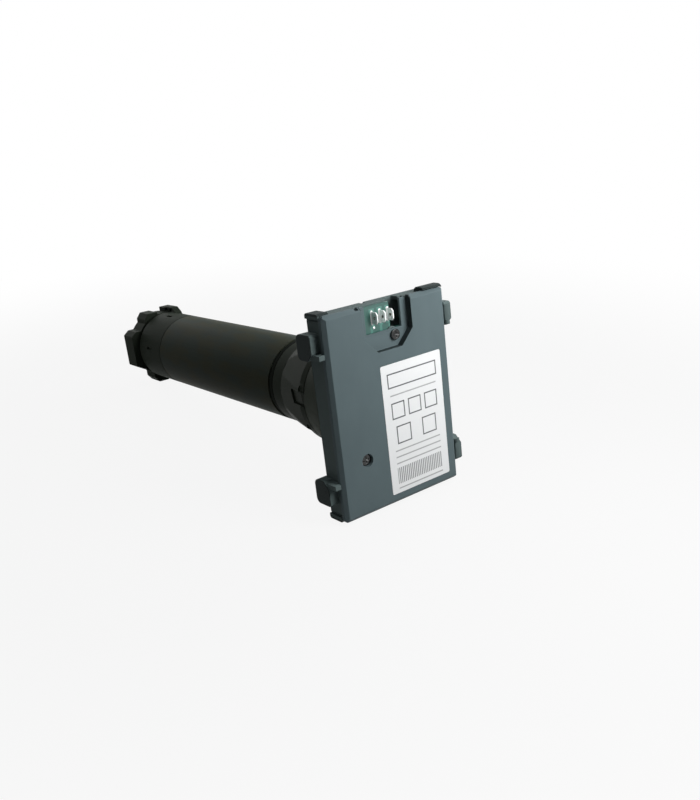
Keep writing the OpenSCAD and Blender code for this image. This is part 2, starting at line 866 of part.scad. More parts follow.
module rotor_cage() {
    ring_l = 3;
    ring_out = bar_orbit + bar_r + 0.3;
    ring_in = bar_orbit - bar_r - 1.5;
    color([0.8, 0.8, 0.82]) {
        at_bars() rod(bar_r, core_from - eps, core_to + eps);
        for (from = [core_from - ring_l, core_to]) sleeve(ring_out, ring_in, from, from + ring_l);
    }
}

module rotor_shaft() {
    color([0.7, 0.7, 0.72]) {
        rod(shaft_r, spigot_to + free_gap, disc_to);
        rod(hub_r, disc_to, stage_from(1) + face_w);
    }
}

// Brake: a spring presses the plate on the disc, and the magnet pulls it off
module at_guides() {
    around(3) translate([0, guide_r, 0]) children();
}

module brake_magnet() {
    color([0.35, 0.36, 0.38]) difference() {
        rod(magnet_r, front_shield_to, magnet_to);
        rod(magnet_bore_r, front_shield_to - eps, magnet_to + eps);
        rod(pole_r, front_shield_to + magnet_floor, magnet_to + eps);
        sleeve(coil_r[1], coil_r[0], front_shield_to + coil_floor, magnet_to + eps);
        at_guides() rod(guide_pin_r + seat_gap, magnet_to - guide_in, magnet_to + eps);
    }
}

module brake_winding() {
    color([0.72, 0.4, 0.15]) sleeve(coil_r[1] - coil_gap, coil_r[0] + coil_gap,
        front_shield_to + coil_floor, magnet_to - free_gap);
}

module brake_pins() {
    color([0.7, 0.7, 0.72]) at_guides() rod(guide_pin_r, magnet_to - guide_in, gear_plate_from);
}

module brake_plate() {
    color([0.5, 0.5, 0.52]) difference() {
        rod(magnet_r, plate_from, plate_to);
        rod(magnet_bore_r, plate_from - eps, plate_to + eps);
        rod(pole_r, plate_from - eps, plate_from + spring_pocket);
        at_guides() rod(guide_pin_r + run_gap, plate_from - eps, plate_to + eps);
    }
}

// Coil spring round the shaft: one unbroken wire swept along its helix
module brake_spring() {
    wire_r = 0.55;
    side_gap = 0.3;
    end_gap = 0.1;
    helix_r = pole_r - wire_r - side_gap;
    rings = 16 * spring_turns;
    sides = 6;
    from = front_shield_to + magnet_floor + wire_r;
    to = plate_from + spring_pocket - plate_travel - end_gap - wire_r;
    points = [for (i = [0 : rings]) for (j = [0 : sides - 1])
        let (turn = 360 * spring_turns * i / rings, side = 360 * j / sides)
        let (r = helix_r + wire_r * cos(side), depth = from + (to - from) * i / rings + wire_r * sin(side))
        [-depth, r * cos(turn), r * sin(turn)]];
    quads = [for (i = [0 : rings - 1]) for (j = [0 : sides - 1])
        let (a = i * sides + j, b = i * sides + (j + 1) % sides) [a, b, b + sides, a + sides]];
    walls = [for (q = quads) each [[q[0], q[1], q[2]], [q[0], q[2], q[3]]]];
    ends = concat([for (j = [1 : sides - 2]) [0, j + 1, j]],
        [for (j = [1 : sides - 2]) [rings * sides, rings * sides + j, rings * sides + j + 1]]);
    color([0.75, 0.75, 0.75]) polyhedron(points, concat(walls, ends));
}

module brake_disc() {
    pin_gap = 0.8;
    color([0.3, 0.25, 0.2])
        sleeve(guide_r - guide_pin_r - pin_gap, shaft_r + seat_gap, disc_from, disc_to);
}

// Involute gears, drawn as outlines of [y, z] points
function involute_of(angle) = tan(angle) * 180 / PI - angle;

// Half of the angle that a tooth takes up at a radius
function half_tooth(teeth, r, thinner) =
    let (pitch_r = tooth_module * teeth / 2, base_r = pitch_r * cos(pressure_angle), at_r = max(r, base_r))
    90 / teeth - thinner / 2 / pitch_r * 180 / PI
        + involute_of(pressure_angle) - involute_of(acos(base_r / at_r));

function gear_points(teeth, root_r, tip_r, thinner) = [
    for (tooth = [0 : teeth - 1]) for (side = [-1, 1]) for (i = [0 : 3])
    let (step = side < 0 ? i : 3 - i, r = root_r + (tip_r - root_r) * step / 3,
        angle = 360 * tooth / teeth + side * half_tooth(teeth, r, thinner))
    [r * cos(angle), r * sin(angle)]];

module gear_outline(teeth) {
    pitch_r = tooth_module * teeth / 2;
    polygon(gear_points(teeth, pitch_r - dedendum, pitch_r + addendum, backlash / 2));
}

module ring_gear() {
    pitch_r = tooth_module * ring_teeth / 2;
    color([0.5, 0.5, 0.45]) difference() {
        rod(fit_r, gear_plate_to, ring_to);
        slab(gear_plate_to - eps, ring_to + eps) rotate(180 / ring_teeth)
            polygon(gear_points(ring_teeth, pitch_r - addendum, pitch_r + dedendum, -backlash / 2));
    }
}

module sun_gear(stage) {
    color([0.65, 0.6, 0.5]) difference() {
        slab(stage_from(stage), stage_from(stage) + face_w) gear_outline(sun_teeth);
        rod(hub_r + seat_gap, stage_from(stage) - eps, stage_from(stage) + face_w + eps);
    }
}

module planet(stage, i) {
    from = stage_from(stage);
    turn = (i - 1) * 360 / planet_count;
    color([0.7, 0.68, 0.6]) rotate([turn, 0, 0]) translate([0, orbit_r, 0]) difference() {
        slab(from, from + face_w) rotate(180 / planet_teeth) gear_outline(planet_teeth);
        rod(pin_r + run_gap, from - eps, from + face_w + eps);
    }
}

// Carrier: a disc with the planets' pins on its front and the next sun's hub, or the output, behind
module carrier(stage) {
    from = carrier_from(stage);
    color([0.6, 0.6, 0.62]) {
        difference() {
            rod(carrier_r, from, from + carrier_t);
            if (stage == 3) slab(from - eps, from + carrier_t + eps)
                square(tongue_w + 2 * seat_gap, center = true);
        }
        around(planet_count) translate([0, orbit_r, 0]) rod(pin_r, stage_from(stage), from + carrier_t);
        if (stage < 3) rod(hub_r, from, stage_from(stage + 1) + face_w);
    }
}

module gearbox_plate() {
    bore_gap = 2.5;
    color([0.55, 0.55, 0.55]) sleeve(fit_r, hub_r + bore_gap, gear_plate_from, gear_plate_to);
}

module gearbox_cap() {
    color([0.25, 0.25, 0.25]) difference() {
        sleeve(fit_r, output_bush_r + seat_gap, ring_to, cap_to);
        at_tube_screws([tube_screw_depths[1]]) tube_screw_hole();
    }
}

module output_bush() {
    color([0.72, 0.5, 0.2]) sleeve(output_bush_r, output_r + run_gap, ring_to, cap_to);
}

// Output shaft: square in the last carrier, round in the bush, square again in the wheel
module output_shaft() {
    tongue_from = carrier_from(3);
    tongue_to = tongue_from + carrier_t;
    end_in = 2;
    color([0.7, 0.7, 0.72]) difference() {
        union() {
            slab(tongue_from, tongue_to + eps) square(tongue_w, center = true);
            rod(output_r, tongue_to, shoulder_to);
            slab(shoulder_to - eps, wheel_to - end_in) square(square_w, center = true);
        }
        sleeve(square_w, clip_r, clip_groove[0], clip_groove[1]);
    }
}

module wheel_clip() {
    clip_gap = 0.1;
    clip_w = 3.6;
    mouth = [2 * square_w, square_w * 0.7];
    color([0.5, 0.5, 0.5]) difference() {
        sleeve(clip_r + clip_w, clip_r + seat_gap, clip_groove[0] + clip_gap, clip_groove[1] - clip_gap);
        slab(clip_groove[0], clip_groove[1]) translate([0, -square_w / 2]) square(mouth, center = true);
    }
}

// Drive wheel: round band, waist, and an end with side blocks and prongs that grip the roller tube
module wheel_lugs() {
    root = tube_r - wheel_wall;
    near_y = prong_gap / 2;
    far_y = near_y + prong_w;
    cut = [3.2, 4];
    block_lean = 1.6;
    block_top = block_h / 2 + block_lean;
    block_bottom = -block_h / 2 + block_lean;
    rim_turn = 234;
    rim_in = 1;
    rim_end = (tube_r - rim_in) * [cos(rim_turn), sin(rim_turn)];
    // the prong on the left of each pair is a little lower
    low_step = 1.2;
    reach = [prong_r, prong_r - low_step];
    for (turn = [0, 180]) rotate([turn, 0, 0]) slab(waist_to, wheel_to) difference() {
        union() {
            // prongs with a cut outer corner
            for (side = [0, 1]) mirror([side, 0]) polygon([[near_y, 0], [near_y, reach[side]],
                [far_y - cut.x, reach[side]], [far_y, reach[side] - cut.y], [far_y, 0]]);
            // side block with a cut upper corner, which runs into the rim below
            polygon([[0, block_top], [cut.y - block_r, block_top], [-block_r, block_top - cut.x],
                [-block_r, block_bottom], rim_end, [0, 0]]);
        }
        circle(root, $fn = round_fn);
    }
}

// Key that rises from the band over the waist
module wheel_key() {
    root = tube_r - wheel_wall;
    near_y = prong_gap / 2;
    foot_in = 0.6;
    key_foot = tube_r - foot_in;
    fall_h = 1.5;
    across(near_y, near_y + key_w) polygon([[-key_from, root], [-key_from, key_foot],
        [-key_from - key_rise, key_r], [key_fall - wheel_to, key_r], [-wheel_to, prong_r - fall_h],
        [-wheel_to, root]]);
}

// Two small pockets in the key's side
module key_pockets() {
    near_y = prong_gap / 2;
    pocket = [4, 2.2, 2];
    pocket_in = 0.2;
    starts = [key_from + key_rise, wheel_to - key_fall - pocket.x / 2];
    for (from = starts) across(near_y - eps, near_y + pocket.z)
        translate([-from - pocket.x, tube_r - pocket_in]) square([pocket.x, pocket.y]);
}

module drive_wheel() {
    hub_wall = 2.5;
    hub_out = square_w / 2 * sqrt(2) + hub_wall;
    hub_from = shoulder_to + hub_gap;
    hub_to = clip_groove[0];
    waist_step = 0.4;
    waist_r = tube_r - wheel_wall + waist_step;
    end_step = 0.5;
    web_in = 8;
    web_from = hub_from + web_in;
    web_t = 3;
    rib_w = 2.2;
    rib_in = 4;
    rib_count = 6;
    rib_turn = 30;
    slot_turns = [100, 169.5];
    slot = [7, 1.8, 1.2];
    slot_in = 13;
    slot_to = band_to - slot_in;
    rib_l = tube_r - hub_out - wheel_wall / 2;
    color([0.17, 0.19, 0.16]) difference() {
        union() {
            sleeve(tube_r, tube_r - wheel_wall, wheel_from, band_to);
            sleeve(waist_r, tube_r - 2 * wheel_wall, band_to - wheel_wall, waist_to + wheel_wall);
            sleeve(tube_r - end_step, tube_r - wheel_wall, waist_to, wheel_to);
            wheel_lugs();
            wheel_key();
            rod(hub_out, hub_from, hub_to);
            rod(tube_r - wheel_wall / 2, web_from, web_from + web_t);
            around(rib_count, rib_turn) slab(web_from, wheel_to - rib_in)
                translate([hub_out - eps, -rib_w / 2]) square([rib_l, rib_w]);
        }
        slab(hub_from - eps, hub_to + eps) square(square_w + 2 * seat_gap, center = true);
        key_pockets();
        // shallow slots in the band
        for (turn = slot_turns) around(2, turn) slab(slot_to - slot.x, slot_to)
            translate([tube_r - slot.z, -slot.y / 2]) square([2 * slot.z, slot.y]);
    }
}

head_cover();
head_housing();
cover_screws();
rating_label();
control_board();
board_screws();
spade_terminals();
relays();
supply_transformer();
neck();
neck_screws();
tube_spigot();
motor_tube();
tube_screws();
run_capacitor();
capacitor_rings();
motor_leads();
rear_shield();
front_shield();
rotor_bushes();
stator_core();
stator_windings();
brake_magnet();
brake_winding();
brake_pins();
brake_spring();
gearbox_plate();
ring_gear();
gearbox_cap();
output_bush();
crown();
rotor_core();
rotor_cage();
rotor_shaft();
brake_disc();
brake_plate();
output_shaft();
drive_wheel();
wheel_clip();
for (stage = [1 : 3]) {
    sun_gear(stage);
    carrier(stage);
    for (i = [1 : planet_count]) {
        planet(stage, i);
    }
}
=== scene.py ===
from math import copysign, cos, pi, radians, sin

import bmesh
import bpy
from mathutils import Matrix, Vector
from mathutils.geometry import intersect_point_line


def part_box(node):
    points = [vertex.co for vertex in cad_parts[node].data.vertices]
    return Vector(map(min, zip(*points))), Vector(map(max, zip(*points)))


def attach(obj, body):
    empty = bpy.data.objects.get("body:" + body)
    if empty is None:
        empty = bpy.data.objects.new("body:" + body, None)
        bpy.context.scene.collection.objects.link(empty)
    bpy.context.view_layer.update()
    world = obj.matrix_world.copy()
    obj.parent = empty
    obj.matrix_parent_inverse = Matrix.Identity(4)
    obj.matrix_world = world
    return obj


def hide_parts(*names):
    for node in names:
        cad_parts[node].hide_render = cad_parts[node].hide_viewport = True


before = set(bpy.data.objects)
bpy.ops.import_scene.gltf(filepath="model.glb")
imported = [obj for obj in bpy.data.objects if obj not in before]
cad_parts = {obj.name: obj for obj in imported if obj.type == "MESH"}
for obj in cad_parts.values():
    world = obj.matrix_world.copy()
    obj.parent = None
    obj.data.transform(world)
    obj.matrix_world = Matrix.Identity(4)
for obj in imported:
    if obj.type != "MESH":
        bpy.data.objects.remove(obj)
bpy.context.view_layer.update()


# Rotor
# Squirrel cage rotor: a stack of thin electrical steel sheets with aluminium bars cast through it,
# pressed on a ground shaft that runs in two sintered bronze bushes.
MM = 0.001


class Signal:
    """One output of a shader node. Arithmetic on signals adds Math nodes."""

    def __init__(self, tree, socket):
        self.tree = tree
        self.socket = socket

    def node(self, kind, settings=None, inputs=None, output=0):
        """Adds a node to the same tree: its settings first, then its inputs by name or place."""
        made = self.tree.nodes.new("ShaderNode" + kind)
        for name, value in (settings or {}).items():
            setattr(made, name, value)
        for key, value in (inputs or {}).items():
            found = [s for s in made.inputs if key in (s.identifier, s.name)]
            socket = made.inputs[key] if isinstance(key, int) else found[0]
            if isinstance(value, Signal):
                self.tree.links.new(value.socket, socket)
            else:
                socket.default_value = value
        return Signal(self.tree, made.outputs[output])

    def math(self, operation, *values):
        """A Math node on this signal and any further values."""
        return self.node("Math", {"operation": operation}, dict(enumerate([self, *values])))

    def __add__(self, other):
        return self.math("ADD", other)

    def __sub__(self, other):
        return self.math("SUBTRACT", other)

    def __rsub__(self, other):
        return self.node("Math", {"operation": "SUBTRACT"}, {0: other, 1: self})

    def __mul__(self, other):
        return self.math("MULTIPLY", other)

    def __truediv__(self, other):
        return self.math("DIVIDE", other)

    def __rtruediv__(self, other):
        return self.node("Math", {"operation": "DIVIDE"}, {0: other, 1: self})

    __radd__ = __add__
    __rmul__ = __mul__


def scaled(vector, by):
    """A colour or a place, times a number or a signal."""
    return vector.node("VectorMath", {"operation": "SCALE"}, {"Vector": vector, "Scale": by})


def new_finish(name, **constants):
    """A material with its shader's constant sockets set, and the place on the part in millimetres."""
    material = bpy.data.materials.new(name)
    material.use_nodes = True
    tree = material.node_tree
    shader = tree.nodes["Principled BSDF"]
    for socket, value in constants.items():
        shader.inputs[socket.replace("_", " ")].default_value = value
    corner = Signal(tree, tree.nodes.new("ShaderNodeTexCoord").outputs["Object"])
    return material, shader, scaled(corner, 1 / MM)


def feed(shader, **signals):
    """Links signals to the shader's sockets."""
    for socket, signal in signals.items():
        signal.tree.links.new(signal.socket, shader.inputs[socket.replace("_", " ")])


def speckle(place, size, detail=2, roughness=0.5):
    """Soft noise, from 0 to 1. Its blots are as large as size: one length, or one in each direction."""
    if isinstance(size, tuple):
        place = place.node("VectorMath", {"operation": "DIVIDE"}, {0: place, 1: size})
        size = 1
    return place.node("TexNoise", {}, {
        "Vector": place, "Scale": 1 / size, "Detail": detail, "Roughness": roughness})


def step_up(signal, low, high):
    """0 below low, 1 above high, and smooth between."""
    return signal.node("MapRange", {"interpolation_type": "SMOOTHSTEP"}, {
        "Value": signal, "From Min": low, "From Max": high})


def between(mask, first, last):
    """A colour that goes from the first to the last with the mask. Either may be a signal."""
    ends = [c if isinstance(c, Signal) else (*c, 1) for c in (first, last)]
    return mask.node("Mix", {"data_type": "RGBA"}, {
        "Factor_Float": mask, "A_Color": ends[0], "B_Color": ends[1]}, output=2)


def relief(height, depth, strength=1.0):
    """A normal bent by a height signal, whose full step is as deep as depth, in millimetres."""
    return height.node("Bump", {}, {"Strength": strength, "Distance": depth * MM, "Height": height})


def axes(place):
    """The place's three coordinates, in millimetres."""
    split = place.node("SeparateXYZ", {}, {0: place})
    return [Signal(place.tree, output) for output in split.socket.node.outputs]


def dress(finish, *nodes):
    """Gives CAD nodes a finish."""
    for name in nodes:
        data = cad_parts[name].data
        data.materials.clear()
        data.materials.append(finish)


def lamination_steel(name):
    """Punched sheets seen on edge: fine bands along the axis, with blue-grey oxide."""
    sheet_t = 0.5
    finish, shader, place = new_finish(name, Metallic=0.9)
    along = axes(place)[0]
    seam = step_up((along / sheet_t).math("FRACT"), 0.72, 0.95)
    oxide = speckle(place, 6, detail=4)
    feed(shader,
         Base_Color=between(oxide, (0.16, 0.17, 0.19), (0.30, 0.30, 0.31)),
         Roughness=0.42 + 0.2 * oxide + 0.2 * seam,
         Normal=relief(1 - seam, depth=0.05))
    return finish


def machined(name, dark, light, lay, rough, oil=0.0):
    """Metal with tool marks as long as lay, in each direction, under a film of oil or lacquer."""
    finish, shader, place = new_finish(name, Metallic=1.0, Coat_Weight=oil, Coat_Roughness=0.1)
    marks = speckle(place, lay, detail=3)
    film = speckle(place, 9, detail=4)
    feed(shader,
         Base_Color=between(0.5 * marks + 0.5 * film, dark, light),
         Roughness=rough - 0.1 + 0.25 * marks + 0.12 * film,
         Normal=relief(marks, depth=0.012))
    return finish


core_steel = lamination_steel("core_steel_stack")
cast_aluminium = machined(
    "cast_aluminium", (0.42, 0.43, 0.44), (0.62, 0.63, 0.64), lay=1.5, rough=0.45)
ground_steel = machined(
    "ground_steel", (0.38, 0.38, 0.39), (0.56, 0.56, 0.57), lay=(0.08, 6, 6), rough=0.24)
bronze = machined(
    "sintered_bronze", (0.24, 0.13, 0.06), (0.42, 0.25, 0.12), lay=0.4, rough=0.5)
dress(core_steel, "rotor_core")
dress(cast_aluminium, "rotor_cage")
dress(ground_steel, "rotor_shaft")
dress(bronze, "rotor_bushes")


# Stator
# The same sheet steel in a slotted ring, pressed into the tube, with lacquered copper wire wound
# through its slots and bent over into end turns.
def wound_wire(name):
    """Lacquered wire: round strands side by side, lying round the axis, with painted shade in the gaps.
    """
    wire_d = 0.55
    slant = 0.7
    finish, shader, place = new_finish(name, Metallic=0.75, Coat_Weight=0.6, Coat_Roughness=0.2)
    x, y, z = axes(place)
    reach = (y * y + z * z).math("SQRT")
    strand_and_gap_shade = ((x + slant * reach) * (pi / wire_d)).math("SINE").math("ABSOLUTE")
    tone = speckle(place, 4, detail=3)
    # The strand profile also paints the gaps between strands darker: painted shade.
    feed(shader,
         Base_Color=between(strand_and_gap_shade * (0.6 + 0.4 * tone), (0.10, 0.035, 0.012), (0.50, 0.20, 0.08)),
         Roughness=0.5 - 0.2 * strand_and_gap_shade,
         Normal=relief(strand_and_gap_shade, depth=0.2))
    return finish


winding_copper = wound_wire("lacquered_copper_wire")
dress(core_steel, "stator_core")
dress(winding_copper, "stator_windings")


# Bearing shields
# Two die-cast aluminium end plates, one at each end of the stator. They hold the rotor's bushes and
# centre the rotor in the tube.
shield_aluminium = machined(
    "die_cast_aluminium", (0.36, 0.37, 0.38), (0.55, 0.56, 0.57), lay=2, rough=0.48)
dress(shield_aluminium, "rear_shield", "front_shield")


# Brake
# A ring magnet with its own winding pulls a plate off a lined disc; with the current off, the
# spring presses the plate back on the lining and the shaft stands still.
def friction_lining(name):
    """Pressed fibre lining: dark and matt, flecked with brass and pale fibre."""
    finish, shader, place = new_finish(name, Specular_IOR_Level=0.2)
    fleck = step_up(speckle(place, 0.5, detail=1), 0.62, 0.7)
    body = speckle(place, 2.5, detail=4)
    feed(shader,
         Base_Color=between(0.35 * body + 0.65 * fleck, (0.035, 0.030, 0.026), (0.30, 0.22, 0.12)),
         Roughness=0.92 - 0.3 * fleck,
         Normal=relief(body, depth=0.05))
    return finish


plated_steel = machined(
    "zinc_plated_steel", (0.40, 0.41, 0.40), (0.58, 0.59, 0.57), lay=1, rough=0.32)
spring_steel = machined(
    "spring_steel", (0.25, 0.25, 0.26), (0.42, 0.42, 0.43), lay=0.3, rough=0.3)
dress(plated_steel, "brake_magnet", "brake_pins", "brake_plate")
dress(winding_copper, "brake_winding")
dress(spring_steel, "brake_spring")
dress(friction_lining("brake_lining"), "brake_disc")


# Planetary gears
# Three stages of sintered steel wheels inside one long toothed ring, all in a thin film of grease.
# Each carrier drives the next stage's sun wheel. The plate and the cap at the ends are die-cast.
def greased_gear(name):
    """Sintered steel with a fine open grain, darker where grease lies."""
    finish, shader, place = new_finish(name, Metallic=0.95, Coat_Weight=0.35, Coat_Roughness=0.25)
    pore = speckle(place, 0.35)
    grease = step_up(speckle(place, 7, detail=3), 0.45, 0.75)
    feed(shader,
         Base_Color=between(0.55 * pore + 0.45 * (1 - grease), (0.14, 0.13, 0.115), (0.40, 0.395, 0.38)),
         Roughness=0.30 + 0.22 * pore,
         Normal=relief(pore, depth=0.02))
    return finish


gear_steel = greased_gear("sintered_gear_steel")
GEAR_STAGES = 3
PLANETS = 3
for stage in range(1, GEAR_STAGES + 1):
    dress(gear_steel, f"sun_gear_{stage}", f"carrier_{stage}")
    dress(gear_steel, *[f"planet_{stage}_{i}" for i in range(1, PLANETS + 1)])
dress(gear_steel, "ring_gear")
dress(shield_aluminium, "gearbox_plate", "gearbox_cap")
dress(bronze, "output_bush")


# Output shaft
# Turned steel shaft with a squared far end for the wheel. A ring of spring steel, snapped into its
# groove, stops the wheel from sliding off.
shaft_steel = machined(
    "oiled_shaft_steel", (0.20, 0.20, 0.205), (0.36, 0.36, 0.365), lay=(0.08, 6, 6), rough=0.26)
dress(shaft_steel, "output_shaft")
dress(spring_steel, "wheel_clip")


# Capacitor and leads
# The run capacitor is a drawn aluminium can with faint lines round its axis. It sits in the neck's
# bore between two moulded rubber rings, with the motor's sleeved leads beside it.
def matt_rubber(name, colour):
    """Moulded rubber or sleeving: matt, with a dusty bloom."""
    finish, shader, place = new_finish(name, Specular_IOR_Level=0.25)
    bloom = speckle(place, 3, detail=4)
    dusty = [0.75 * c + 0.03 for c in colour]
    feed(shader,
         Base_Color=between(bloom, colour, dusty),
         Roughness=0.65 + 0.2 * bloom,
         Normal=relief(speckle(place, 0.4), depth=0.02))
    return finish


can_aluminium = machined(
    "drawn_aluminium_can", (0.46, 0.47, 0.48), (0.66, 0.67, 0.68), lay=(0.25, 9, 9), rough=0.34)
dress(can_aluminium, "run_capacitor")
dress(matt_rubber("black_rubber", (0.02, 0.02, 0.02)), "capacitor_rings")
dress(matt_rubber("lead_sleeving", (0.10, 0.02, 0.015)), "motor_leads")


# Spigot
# Moulded plastic plug that holds the tube's near end, closes the crown in and plugs into the neck.
# Only a narrow bead of it shows, in the groove before the tube. It is darker than the other black
# mouldings, as painted shade in that groove.
def folds_of(shape):
    """The middles of the edges at which a shape, cut into triangles, turns back on itself."""
    fold_angle = radians(172)
    cut = shape.copy()
    many_sided = [f for f in cut.faces if len(f.verts) > 3]
    bmesh.ops.triangulate(cut, faces=many_sided, ngon_method="BEAUTY")
    cut.normal_update()
    folded = [e for e in cut.edges if e.is_manifold and e.calc_face_angle() > fold_angle]
    places = [(e.verts[0].co + e.verts[1].co) / 2 for e in folded]
    cut.free()
    return places


def way_to(place, edge):
    """The distance from a place to an edge."""
    start, end = (v.co for v in edge.verts)
    share = intersect_point_line(place, start, end)[1]
    return (place - start.lerp(end, min(1.0, max(0.0, share)))).length


def piece_of(shape, name, crisp):
    """A new piece with the shape's mesh, shaded smooth over all edges up to crisp degrees."""
    mesh = bpy.data.meshes.new(name)
    shape.to_mesh(mesh)
    shape.free()
    mesh.shade_smooth()
    mesh.set_sharp_from_angle(angle=radians(crisp))
    piece = bpy.data.objects.new(name, mesh)
    bpy.context.scene.collection.objects.link(piece)
    return piece


def softened(node, name, edge_r, crisp=50, least=0.0):
    """A copy of a CAD node whose sharp edges, where longer than least, are rounded by edge_r.

    An edge stays as it is where its rounding would fold over."""
    sharp_angle = radians(28)
    flat_angle = radians(0.4)
    weld_l = 0.002 * MM
    sliver_l = 0.001 * MM
    fold_room = 3 * edge_r * MM
    attempts = 3
    folds = []
    for attempt in range(attempts):
        shape = bmesh.new()
        shape.from_mesh(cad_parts[node].data)
        bmesh.ops.remove_doubles(shape, verts=shape.verts, dist=weld_l)
        bmesh.ops.dissolve_limit(shape, angle_limit=flat_angle, verts=shape.verts, edges=shape.edges)
        edges = [e for e in shape.edges if e.is_manifold and e.calc_face_angle() > sharp_angle]
        edges = [e for e in edges if e.calc_length() > least * MM]
        edges = [e for e in edges if all(way_to(fold, e) > fold_room for fold in folds)]
        bmesh.ops.bevel(shape, geom=edges, offset=edge_r * MM, offset_type="OFFSET", segments=2,
                        profile=0.5, affect="EDGES", clamp_overlap=False)
        bmesh.ops.dissolve_degenerate(shape, edges=shape.edges, dist=sliver_l)
        found = folds_of(shape)
        if not found or attempt == attempts - 1:
            break
        folds += found
        shape.free()
    piece = piece_of(shape, name, crisp)
    even = piece.modifiers.new("even_faces", "WEIGHTED_NORMAL")
    even.keep_sharp = True
    return piece


def stand_in(piece, node, body, finish):
    """The piece takes the node's place, moves with its body and wears the finish."""
    piece.data.materials.append(finish)
    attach(piece, body)
    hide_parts(node)


def moulded(name, colour, grain, rough, specular, painted_shade_where=None):
    """Injection moulded plastic: eroded grain and faint flow marks, with painted shade where the given
    mask is 1.
    """
    flow_size = (16, 16, 30)
    finish, shader, place = new_finish(name, Specular_IOR_Level=specular)
    flow = speckle(place, flow_size, detail=3)
    texture = speckle(place, grain, roughness=0.6)
    rubbed = step_up(speckle(place, 5, detail=5, roughness=0.65), 0.62, 0.8)
    deep = [0.84 * c for c in colour]
    pale = [1.22 * c for c in colour]
    # The colour of painted shade, used where the mask is 1.
    dark = [0.28 * c for c in colour]
    tone = between(0.6 * flow + 0.25 * texture + 0.15 * rubbed, deep, pale)
    feed(shader,
         Base_Color=between(painted_shade_where(place), tone, dark) if painted_shade_where else tone,
         Roughness=rough - 0.06 + 0.1 * flow + 0.08 * texture - 0.06 * rubbed,
         Normal=relief(texture, depth=0.03, strength=0.6))
    return finish


# A darker copy of the black moulding: painted shade for the groove.
painted_shade_plastic = moulded(
    "painted_shade_moulding", (0.0100, 0.0125, 0.0098), grain=0.45, rough=0.60, specular=0.012)
spigot = softened("tube_spigot", "spigot_moulding", edge_r=0.2)
stand_in(spigot, "tube_spigot", "base", painted_shade_plastic)


# Tube
# Drawn steel tube with a stoved black coat. Flat-headed blackened screws hold it at both ends, on
# the spigot and on the gearbox.
def stoved_black(name):
    """Black coat on drawn tube: slight orange peel, drawing lines along the tube, small scuffs."""
    peel_size = 1.1
    line_size = (60, 0.5, 0.5)
    cloud_size = (40, 14, 14)
    scuff_size = (9, 0.6, 0.6)
    hue_size = (24, 8, 8)
    warm = (0.0680, 0.0730, 0.0500)
    cool = (0.0580, 0.0730, 0.0610)
    finish, shader, place = new_finish(name, Specular_IOR_Level=0.007)
    peel = speckle(place, peel_size)
    lines = speckle(place, line_size, detail=3)
    cloud = speckle(place, cloud_size, detail=4)
    scuff = step_up(speckle(place, scuff_size, detail=3), 0.68, 0.76)
    tint = between(step_up(speckle(place, hue_size), 0.35, 0.65), warm, cool)
    feed(shader,
         Base_Color=scaled(tint, 0.62 + 0.30 * cloud + 0.16 * lines + 0.12 * scuff),
         Roughness=0.36 + 0.08 * cloud + 0.06 * lines + 0.1 * scuff,
         Normal=relief(0.75 * peel + 0.25 * lines, depth=0.02, strength=0.7))
    return finish


tube_paint = stoved_black("stoved_black_tube")
blackened_steel = machined(
    "blackened_steel", (0.018, 0.019, 0.019), (0.045, 0.047, 0.047), lay=0.6, rough=0.38)
tube = softened("motor_tube", "tube_shell", edge_r=0.12)
stand_in(tube, "motor_tube", "base", tube_paint)
tube_screws = softened("tube_screws", "tube_screw_heads", edge_r=0.08)
stand_in(tube_screws, "tube_screws", "base", blackened_steel)


# Neck and crown
# The neck is the fixed moulded flare behind the head, held by plated screws. The crown turns on it,
# with flats and four notches that take the near end of the roller tube.
BLACK = (0.0330, 0.0410, 0.0315)
CROWN_CRISP = 14


def skin(shape, rings):
    """Closes a row of rings of corners into one solid with flat ends."""
    count = len(rings[0])
    walls = [(low[i], low[(i + 1) % count], high[(i + 1) % count], high[i])
             for low, high in zip(rings, rings[1:]) for i in range(count)]
    made = [shape.faces.new(wall) for wall in [*walls, rings[0][::-1], rings[-1]]]
    bmesh.ops.recalc_face_normals(shape, faces=made)


def notch_tongues(piece):
    """Adds the crown's shallow tongues, which fill its notches to just below the flats."""
    near_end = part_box("crown")[1].x / MM
    notches = 4
    first_notch = 85.5
    flat_lean = radians(12)
    flat_r = 28.7
    flat_fall = 0.14
    collar_l = 4.0
    near_gap = 0.2
    notch_l = 13.2
    sunk = 1.0
    seat_r = 23.9
    half_w = 3.7
    shape = bmesh.new()
    shape.from_mesh(piece.data)
    for notch in range(notches):
        turn = radians(first_notch + 360 / notches * notch)
        out = Vector((0, cos(turn), sin(turn)))
        side = Vector((0, -sin(turn), cos(turn)))
        rings = []
        for back in (near_gap, collar_l, notch_l):
            level = flat_r - flat_fall * max(0.0, back - collar_l) - sunk
            left_r = (level + half_w * sin(flat_lean)) / cos(flat_lean)
            right_r = (level - half_w * sin(flat_lean)) / cos(flat_lean)
            outline = ((seat_r, -half_w), (left_r, -half_w), (right_r, half_w), (seat_r, half_w))
            axis = Vector((near_end - back, 0, 0))
            rings.append([shape.verts.new((axis + r * out + v * side) * MM) for r, v in outline])
        skin(shape, rings)
    shape.to_mesh(piece.data)
    shape.free()
    piece.data.shade_smooth()
    piece.data.set_sharp_from_angle(angle=radians(CROWN_CRISP))


black_plastic = moulded("black_moulding", BLACK, grain=0.45, rough=0.50, specular=0.009)
worn_plastic = moulded("worn_black_moulding", BLACK, grain=0.45, rough=0.38, specular=0.012)
neck = softened("neck", "neck_moulding", edge_r=0.3)
stand_in(neck, "neck", "base", black_plastic)
crown = softened("crown", "crown_moulding", edge_r=0.15, crisp=CROWN_CRISP)
notch_tongues(crown)
stand_in(crown, "crown", "crown_body", worn_plastic)
dress(plated_steel, "neck_screws")
